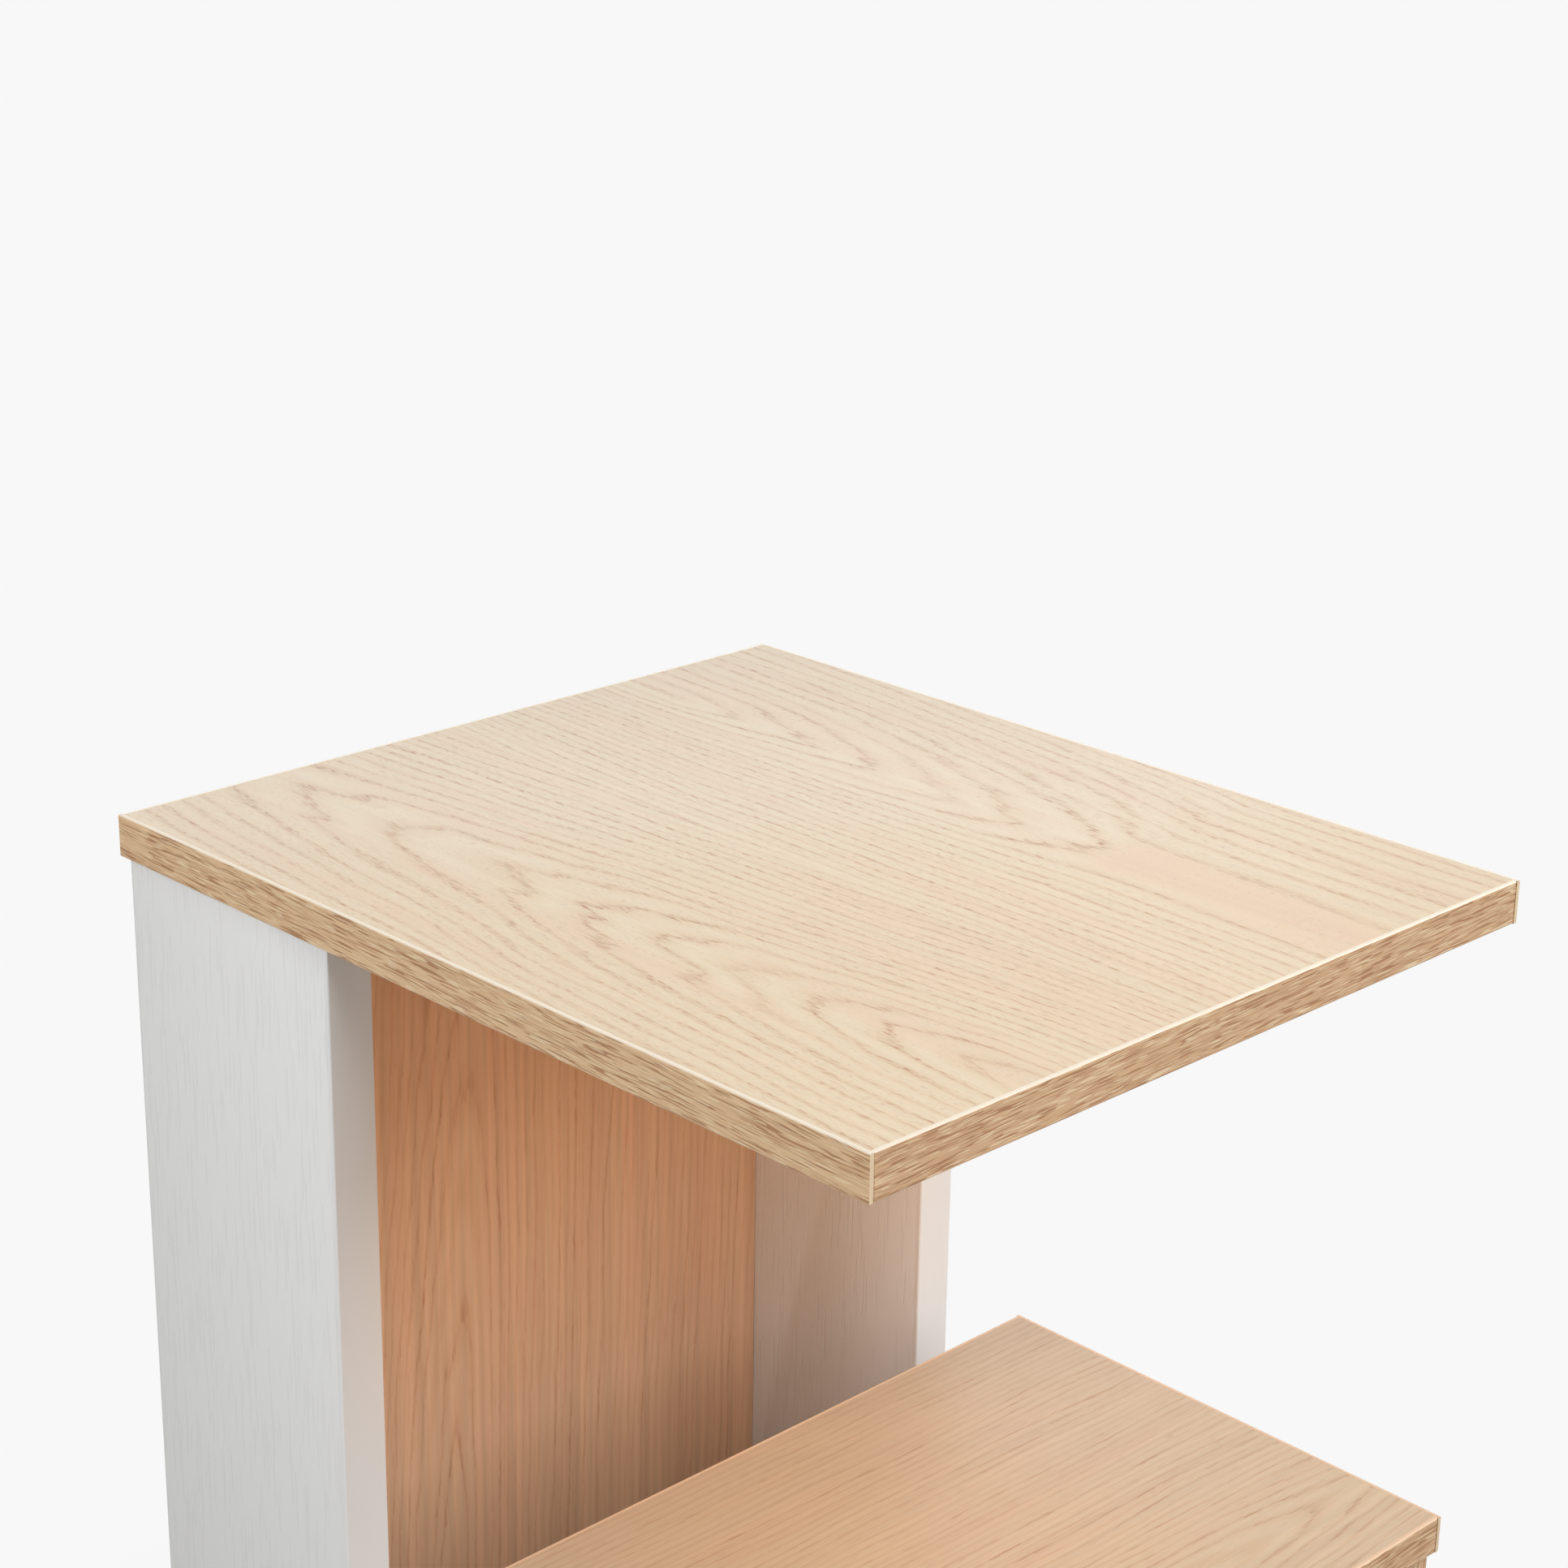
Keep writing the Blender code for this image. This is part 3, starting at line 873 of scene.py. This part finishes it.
def cylinder(start, end, radius, segments=ROUND_STEPS):
    """A closed cylinder between two points."""
    start = Vector(start)
    end = Vector(end)
    shape = bmesh.new()
    bmesh.ops.create_cone(
        shape,
        cap_ends=True,
        segments=segments,
        radius1=radius,
        radius2=radius,
        depth=(end - start).length,
    )
    turn = (end - start).to_track_quat("Z", "Y").to_matrix().to_4x4()
    move = Matrix.Translation(0.5 * (start + end)) @ turn
    bmesh.ops.transform(shape, matrix=move, verts=shape.verts)
    return shape


def carve(piece, cutters):
    """Cuts the shapes out of a piece for good."""
    helpers = []
    for shape in cutters:
        mesh = bpy.data.meshes.new("cutter")
        shape.to_mesh(mesh)
        shape.free()
        helper = bpy.data.objects.new("cutter", mesh)
        bpy.context.scene.collection.objects.link(helper)
        helpers.append(helper)
        boolean = piece.modifiers.new("bore", "BOOLEAN")
        boolean.operation = "DIFFERENCE"
        boolean.solver = "EXACT"
        boolean.object = helper
    bpy.context.view_layer.update()
    solid = piece.evaluated_get(bpy.context.evaluated_depsgraph_get())
    mesh = bpy.data.meshes.new_from_object(solid)
    piece.modifiers.clear()
    old = piece.data
    piece.data = mesh
    bpy.data.meshes.remove(old)
    for helper in helpers:
        bpy.data.objects.remove(helper)
    settle_shading(mesh)


def bore_for(node, axis, radius, past=PAST_FITTING):
    """A round cutter along a fitting, a little longer than it."""
    low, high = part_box(node)
    middle = 0.5 * (low + high)
    reach = 0.5 * (high - low).dot(axis) + past
    return cylinder(middle - axis * reach, middle + axis * reach, radius)


def turned(profile, foot, direction, steps=ROUND_STEPS):
    """A lathe-turned shape from its half profile: radius and height, from the foot along a
    direction."""
    shape = bmesh.new()
    points = [shape.verts.new((radius, 0, height)) for radius, height in profile]
    edges = [shape.edges.new(pair) for pair in zip(points, points[1:])]
    bmesh.ops.spin(
        shape,
        geom=points + edges,
        axis=(0, 0, 1),
        cent=(0, 0, 0),
        angle=2 * pi,
        steps=steps,
        use_merge=True,
    )
    bmesh.ops.remove_doubles(shape, verts=shape.verts, dist=SAME_POINT)
    turn = Vector(direction).to_track_quat("Z", "Y").to_matrix().to_4x4()
    bmesh.ops.transform(shape, matrix=Matrix.Translation(foot) @ turn, verts=shape.verts)
    return shape


# Boards and bands.


def make_board(node, ending, material, body, slot, low, high, arris=BOARD_ARRIS):
    """A flat board in a node's place, with all its edges broken."""
    shape = block(low, high)
    round_edges(shape, lambda edge: True, arris, 2)
    return finish_piece(f"{node}_{ending}", shape, material, body, [node])


def make_band(name, low, high, roundings, material, body, replaced=()):
    """An edge band. Each of its roundings is the choice of edges, the radius and the segments."""
    shape = block(low, high)
    for chosen, radius, segments in roundings:
        round_edges(shape, chosen, radius, segments)
    piece = finish_piece(name, shape, material, body, replaced)
    weighted = piece.modifiers.new("even_normals", "WEIGHTED_NORMAL")
    weighted.keep_sharp = True
    weighted.weight = 100


def make_top(table):
    """A top: its laminated board and the four bands, the side bands capping the others."""
    body = f"{table}_table"
    node = f"{table}_top_board"
    low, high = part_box(node)
    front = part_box(f"{table}_top_band_front")[1].y + JOINT_LINE
    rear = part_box(f"{table}_top_band_rear")[0].y - JOINT_LINE
    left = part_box(f"{table}_top_band_left")[1].x + JOINT_LINE
    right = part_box(f"{table}_top_band_right")[0].x - JOINT_LINE
    board = make_board(
        node,
        "laminated",
        f"{table}_top",
        body,
        "oak_laminate",
        (left, front, low.z),
        (right, rear, high.z),
        LAMINATE_ARRIS,
    )
    for end in ENDS:
        band = f"{table}_top_band_{end}"
        low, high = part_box(band)
        outer = low.y if end == "front" else high.y
        make_band(
            f"{band}_scraped",
            (left, low.y, low.z),
            (right, high.y, high.z),
            [(edges_at(Y_AXIS, outer), BAND_ROUND, 5)],
            f"{table}_band_front",
            body,
            [band],
        )
    for side, _ in SIDES:
        band = f"{table}_top_band_{side}"
        low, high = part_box(band)
        outer = low.x if side == "left" else high.x
        make_band(
            f"{band}_scraped",
            low,
            high,
            [
                (edges_at(X_AXIS, outer, Y_AXIS), BAND_ROUND, 5),
                (edges_at(X_AXIS, outer, Z_AXIS), BAND_ARRIS, 2),
            ],
            f"{table}_band_side",
            body,
            [band],
        )
    return board


def make_upright(node, band, body, materials, slots, rear_band):
    """An upright panel with its front band, and a thinner band on its rear edge."""
    low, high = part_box(node)
    band_low, band_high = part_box(band)
    panel = make_board(
        node,
        "faced",
        materials[0],
        body,
        slots[0],
        (low.x, band_high.y + JOINT_LINE, low.z),
        (high.x, high.y - REAR_BAND - JOINT_LINE, high.z),
    )
    make_band(
        f"{band}_rounded",
        band_low,
        band_high,
        [(edges_at(Y_AXIS, band_low.y, Z_AXIS), PANEL_ARRIS, 4)],
        materials[1],
        body,
        [band],
    )
    make_band(
        rear_band,
        (low.x, high.y - REAR_BAND, low.z),
        high,
        [(edges_at(Y_AXIS, high.y, Z_AXIS), REAR_BAND_ARRIS, 3)],
        materials[1],
        body,
    )
    return panel


def make_runner(node, body):
    """A floor runner, banded on its two ends."""
    low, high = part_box(node)
    step = REAR_BAND + JOINT_LINE
    shape = block((low.x, low.y + step, low.z), (high.x, high.y - step, high.z))
    round_edges(shape, lambda edge: edge_runs(edge, Y_AXIS), RUNNER_ARRIS, 3)
    runner = finish_piece(f"{node}_foiled", shape, "white_runner", body, [node])
    for end, near, far in (
        ("front", low.y, low.y + REAR_BAND),
        ("rear", high.y - REAR_BAND, high.y),
    ):
        outer = near if end == "front" else far
        make_band(
            f"{node}_{end}_band",
            (low.x, near, low.z),
            (high.x, far, high.z),
            [(edges_at(Y_AXIS, outer), RUNNER_ARRIS, 3)],
            "white_band",
            body,
        )
    return runner


# Fittings. Each adds its bores to the lists of the boards that it sits in.


def make_dowel(node, body, upright_bores, top_bores):
    """A fluted beech dowel with chamfered ends."""
    upright_bores.append(bore_for(node, Z_AXIS, DOWEL_BORE))
    top_bores.append(bore_for(node, Z_AXIS, DOWEL_BORE))
    low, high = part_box(node)
    radius = 0.5 * (high.x - low.x)
    middle = 0.5 * (low + high)
    length = high.z - low.z
    foot = (middle.x, middle.y, low.z)
    shape = cylinder(foot, (middle.x, middle.y, high.z), radius, DOWEL_SIDES)
    round_edges(shape, lambda edge: not edge_runs(edge, Z_AXIS), DOWEL_CHAMFER, 2)
    for vert in shape.verts:
        spoke = Vector((vert.co.x - middle.x, vert.co.y - middle.y, 0))
        turn = spoke.to_2d().angle_signed(Vector((1, 0)), 0.0)
        step = round(turn / (2 * pi / DOWEL_SIDES))
        inside = abs(vert.co.z - middle.z) < 0.5 * length - FLUTE_STOP
        if inside and step % 2:
            vert.co -= spoke * FLUTE_SHARE
    finish_piece(f"{node}_fluted", shape, "beech", body, [node])


def thread_profile(start, end, root, crest, pitch):
    """Half profile of a coarse thread, from start to end."""
    points = []
    turns = int((end - start) / pitch)
    for turn in range(turns):
        base = start + turn * pitch
        points.append((root, base))
        points.append((root, base + 0.45 * pitch))
        points.append((crest, base + 0.62 * pitch))
        points.append((crest, base + 0.74 * pitch))
    points.append((root, start + turns * pitch))
    return points


def make_bolt(node, axis, direction, body):
    """A cam bolt: mushroom head, neck, collar and coarse thread."""
    low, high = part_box(node)
    middle = 0.5 * (low + high)
    length = (high - low).dot(axis)
    foot = middle - direction * 0.5 * length
    thread = length - BOLT_THREAD
    profile = [
        (0, 0),
        (0.0022, 0),
        (0.0030, 0.0003),
        (0.0033, 0.0009),
        (0.0033, 0.0016),
        (0.0019, 0.0024),
        (0.0018, 0.0058),
        (0.0028, 0.0062),
        (0.0029, 0.0070),
        (0.0029, thread - 0.0012),
        (0.0025, thread - 0.0004),
        *thread_profile(thread, length - 0.0018, 0.0017, 0.0025, 0.0016),
        (0.0011, length - 0.0006),
        (0.0006, length),
        (0, length),
    ]
    shape = turned(profile, foot, direction, THREAD_STEPS)
    finish_piece(f"{node}_threaded", shape, "zinc", body, [node])


def make_cam(node, bolt, bolt_axis, body):
    """A cast cam with a chamfered rim, a sunk face, a cross recess and the bolt's side opening."""
    low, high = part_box(node)
    middle = 0.5 * (low + high)
    radius = 0.5 * (high.x - low.x)
    depth = high.y - low.y
    face = Vector((middle.x, high.y, middle.z))
    profile = [
        (0, 0.0010),
        (radius - 0.0022, 0.0010),
        (radius - 0.0018, 0.0004),
        (radius - 0.0014, 0.0),
        (radius - 0.0005, 0.0),
        (radius, 0.0005),
        (radius, depth - 0.0005),
        (radius - 0.0005, depth),
        (0, depth),
    ]
    shape = turned(profile, face, -Y_AXIS)
    piece = finish_piece(f"{node}_cast", shape, "zinc", body, [node])
    cutters = []
    for across, along in ((X_AXIS, Z_AXIS), (Z_AXIS, X_AXIS)):
        half = across * CROSS_HALF_WIDTH + along * CROSS_REACH
        bottom = face - Y_AXIS * CROSS_DEPTH
        cutters.append(block(bottom - half, face + half + Y_AXIS * PAST_SURFACE))
    bolt_low, bolt_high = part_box(bolt)
    bolt_middle = 0.5 * (bolt_low + bolt_high)
    outward = bolt_axis * (1 if (bolt_middle - middle).dot(bolt_axis) > 0 else -1)
    centre = Vector((middle.x, bolt_middle.y, middle.z))
    start = centre - outward * BOLT_OPENING_START
    end = centre + outward * (radius + PAST_SURFACE)
    cutters.append(cylinder(start, end, BOLT_OPENING))
    carve(piece, cutters)


def make_cam_joint(name, axis, direction, body, panel_bores, mate_bores):
    """A cam in a panel, and the bolt that it draws towards it out of the panel's mate."""
    cam = f"{name}_cam"
    bolt = f"{name}_bolt"
    panel_bores.append(bore_for(cam, Y_AXIS, CAM_BORE))
    panel_bores.append(bore_for(bolt, axis, BOLT_BORE))
    mate_bores.append(bore_for(bolt, axis, BOLT_PILOT))
    make_cam(cam, bolt, axis, body)
    make_bolt(bolt, axis, direction, body)


def make_glide(node, body, foot_bores):
    """A moulded glide with a rounded foot, a moulded ring, and its nail."""
    foot_bores.append(bore_for(node, Z_AXIS, NAIL_BORE, PAST_NAIL))
    low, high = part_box(node)
    middle = 0.5 * (low + high)
    radius = 0.5 * (high.x - low.x)
    foot = Vector((middle.x, middle.y, low.z))
    profile = [
        (0, 0.0004),
        (0.30 * radius, 0.0004),
        (0.34 * radius, 0.0),
        (radius - 0.0014, 0.0),
        (radius - 0.0007, 0.0002),
        (radius - 0.0002, 0.0007),
        (radius, 0.0014),
        (radius, GLIDE_PAD - 0.0006),
        (radius - 0.0003, GLIDE_PAD),
        (0.0012, GLIDE_PAD),
        (0.0012, high.z - low.z - 0.002),
        (0, high.z - low.z),
    ]
    shape = turned(profile, foot, Z_AXIS)
    finish_piece(f"{node}_moulded", shape, "glide", body, [node])


def make_screw(node, body, runner_bores, panel_bores):
    """A furniture screw with a flat head, a hexagon socket and a coarse thread."""
    low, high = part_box(node)
    middle = 0.5 * (low + high)
    length = high.z - low.z
    foot = Vector((middle.x, middle.y, low.z))
    panel_bores.append(bore_for(node, Z_AXIS, SCREW_PILOT))
    runner_bores.append(bore_for(node, Z_AXIS, SCREW_BORE))
    mouth = foot - Z_AXIS * 2 * PAST_SURFACE
    runner_bores.append(cylinder(mouth, foot + Z_AXIS * SCREW_HEAD_SINK, SCREW_HEAD_BORE))
    profile = [
        (0, 0),
        (0.0044, 0),
        (0.0049, 0.0003),
        (0.0050, 0.0007),
        (0.0050, 0.0029),
        (0.0035, 0.0038),
        (0.0035, 0.0410),
        (0.0026, 0.0440),
        *thread_profile(0.0450, length - 0.0040, 0.0018, 0.0025, 0.0026),
        (0.0012, length - 0.0022),
        (0.0003, length),
        (0, length),
    ]
    shape = turned(profile, foot, Z_AXIS, THREAD_STEPS)
    piece = finish_piece(f"{node}_threaded", shape, "zinc", body, [node])
    mouth = foot - Z_AXIS * PAST_SURFACE
    carve(piece, [cylinder(mouth, foot + Z_AXIS * HEXAGON_DEPTH, HEXAGON_RADIUS, 6)])


# The two tables.


def make_large_table():
    body = "large_table"
    top = make_top("large")
    node = "large_back_panel"
    back = make_board(node, "faced", "back", body, "oak_laminate", *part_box(node))
    top_bores = []
    back_bores = []
    for side, sign in SIDES:
        panel = make_upright(
            f"large_side_panel_{side}",
            f"large_side_band_{side}",
            body,
            ("white_up", "white_band"),
            ("white_foil", "white_edge_band"),
            f"large_side_rear_band_{side}",
        )
        runner = make_runner(f"large_runner_{side}", body)
        panel_bores = []
        runner_bores = []
        for end in ENDS:
            make_dowel(f"large_dowel_{end}_{side}", body, panel_bores, top_bores)
            make_screw(f"large_runner_screw_{end}_{side}", body, runner_bores, panel_bores)
            make_glide(f"large_glide_{end}_{side}", body, runner_bores)
        for level in ("upper", "lower"):
            name = f"large_{level}_{side}"
            make_cam_joint(name, X_AXIS, X_AXIS * sign, body, back_bores, panel_bores)
        make_cam_joint(f"large_top_{side}", Z_AXIS, Z_AXIS, body, back_bores, top_bores)
        carve(panel, panel_bores)
        carve(runner, runner_bores)
    carve(top, top_bores)
    carve(back, back_bores)


def make_small_table():
    body = "small_table"
    top = make_top("small")
    node = "small_back_panel"
    back = make_board(node, "faced", "white_back", body, "white_foil", *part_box(node))
    top_bores = []
    back_bores = []
    for side, sign in SIDES:
        leg = make_upright(
            f"small_leg_{side}",
            f"small_leg_band_{side}",
            body,
            ("leg", "leg_band"),
            ("oak_laminate", "oak_edge_band"),
            f"small_leg_rear_band_{side}",
        )
        leg_bores = []
        for end in ENDS:
            make_dowel(f"small_dowel_{end}_{side}", body, leg_bores, top_bores)
            make_glide(f"small_glide_{end}_{side}", body, leg_bores)
        make_cam_joint(f"small_{side}", X_AXIS, X_AXIS * sign, body, back_bores, leg_bores)
        carve(leg, leg_bores)
    make_cam_joint("small_top", Z_AXIS, Z_AXIS, body, back_bores, top_bores)
    carve(top, top_bores)
    carve(back, back_bores)


# Studio.


def make_camera():
    """The camera stands to the front left, above the large top."""
    data = bpy.data.cameras.new("studio_camera")
    data.sensor_width = 36.0
    data.lens = 74.35
    camera = bpy.data.objects.new("studio_camera", data)
    bpy.context.scene.collection.objects.link(camera)
    place = Vector((-0.8979, -0.8991, 1.0723))
    aim = Vector((-0.0392, -0.0221, 0.6438))
    roll = Quaternion((0, 0, 1), radians(0.83))
    camera.location = place
    camera.rotation_mode = "QUATERNION"
    camera.rotation_quaternion = (aim - place).to_track_quat("-Z", "Y") @ roll
    bpy.context.scene.camera = camera


def softbox(name, place, aim, width, height, power, colour=(1.0, 1.0, 1.0), spread=180):
    data = bpy.data.lights.new(name, "AREA")
    data.shape = "RECTANGLE"
    data.size = width
    data.size_y = height
    data.energy = power
    data.color = colour
    data.spread = radians(spread)
    light = bpy.data.objects.new(name, data)
    bpy.context.scene.collection.objects.link(light)
    light.location = place
    light.rotation_mode = "QUATERNION"
    light.rotation_quaternion = (Vector(aim) - Vector(place)).to_track_quat("-Z", "Y")
    light.visible_camera = False
    return light


def make_lights():
    """Soft light from all round, and two warm bounces into the recess under the large top."""
    for name, place, size, power in (
        ("front_softbox", (-0.2, -2.5, 2.0), 1.2, 36.5),
        ("front_right_softbox", (1.5, -1.7, 2.3), 1.4, 9.0),
        ("right_softbox", (2.4, -0.9, 2.0), 1.4, 48.0),
        ("left_softbox", (-2.6, 0.3, 1.5), 1.4, 33.0),
        ("left_rear_softbox", (-1.6, 1.8, 2.2), 1.4, 8.0),
    ):
        softbox(name, place, (0, 0, 0.45), size, size, power)
    softbox("rear_softbox", (1.95, 2.6, 1.5), (0, 0, 0.6), 3.5, 1.8, 26.0)
    bounces = (
        softbox(
            "recess_bounce",
            (-0.09, -0.12, 0.43),
            (0.16, 0.16, 0.40),
            0.26,
            0.18,
            0.102,
            (1.0, 0.42, 0.07),
            125,
        ),
        softbox(
            "low_top_bounce",
            (0.04, -0.04, 0.325),
            (0.13, 0.12, 0.55),
            0.28,
            0.20,
            0.100,
            (1.0, 0.58, 0.26),
        ),
    )
    for bounce in bounces:
        bounce.visible_glossy = False


def split_by_camera(tree, lit, even, output):
    """The even shader for what the camera sees, and the lit one for all other light."""
    seen = add_node(tree, "ShaderNodeLightPath").outputs["Is Camera Ray"]
    inputs = {0: seen, 1: lit.outputs[0], 2: even.outputs[0]}
    mixed = add_node(tree, "ShaderNodeMixShader", inputs)
    tree.links.new(mixed.outputs[0], output.inputs["Surface"])


def make_floor():
    """A pale floor that stays even to the camera, with a soft shade where the object stands."""
    low = CAD_BOX[0]
    shape = bmesh.new()
    bmesh.ops.create_circle(shape, cap_ends=True, segments=96, radius=16.0)
    bmesh.ops.translate(shape, vec=(0, 0, low.z - 0.0002), verts=shape.verts)
    mesh = bpy.data.meshes.new("studio_floor")
    shape.to_mesh(mesh)
    shape.free()
    floor = bpy.data.objects.new("studio_floor", mesh)
    bpy.context.scene.collection.objects.link(floor)
    material, tree, shader = new_material("studio_floor", roughness=0.9, specular=0.0)
    shader.inputs["Base Color"].default_value = (0.30, 0.30, 0.30, 1.0)
    shade = add_node(tree, "ShaderNodeAmbientOcclusion", {"Distance": 0.35}, samples=16)
    tone = ramp(tree, shade.outputs["AO"], 0.0, 1.0, "LINEAR", 0.35, 1.0)
    inputs = {"Color": paint(*STUDIO_WHITE), "Strength": tone}
    even = add_node(tree, "ShaderNodeEmission", inputs)
    split_by_camera(tree, shader, even, tree.nodes["Material Output"])
    mesh.materials.append(material)


def make_surroundings():
    """The room: even and pale to the camera, dim to the object."""
    world = bpy.data.worlds.new("studio_room")
    bpy.context.scene.world = world
    world.use_nodes = True
    tree = world.node_tree
    tree.nodes.clear()
    inputs = {"Color": (1.0, 1.0, 1.0, 1.0), "Strength": 0.30}
    dim = add_node(tree, "ShaderNodeBackground", inputs)
    even = add_node(tree, "ShaderNodeBackground", {"Color": paint(*STUDIO_WHITE)})
    split_by_camera(tree, dim, even, add_node(tree, "ShaderNodeOutputWorld"))
    bpy.context.scene.view_settings.view_transform = "Standard"


make_camera()
make_large_table()
make_small_table()
make_floor()
make_lights()
make_surroundings()
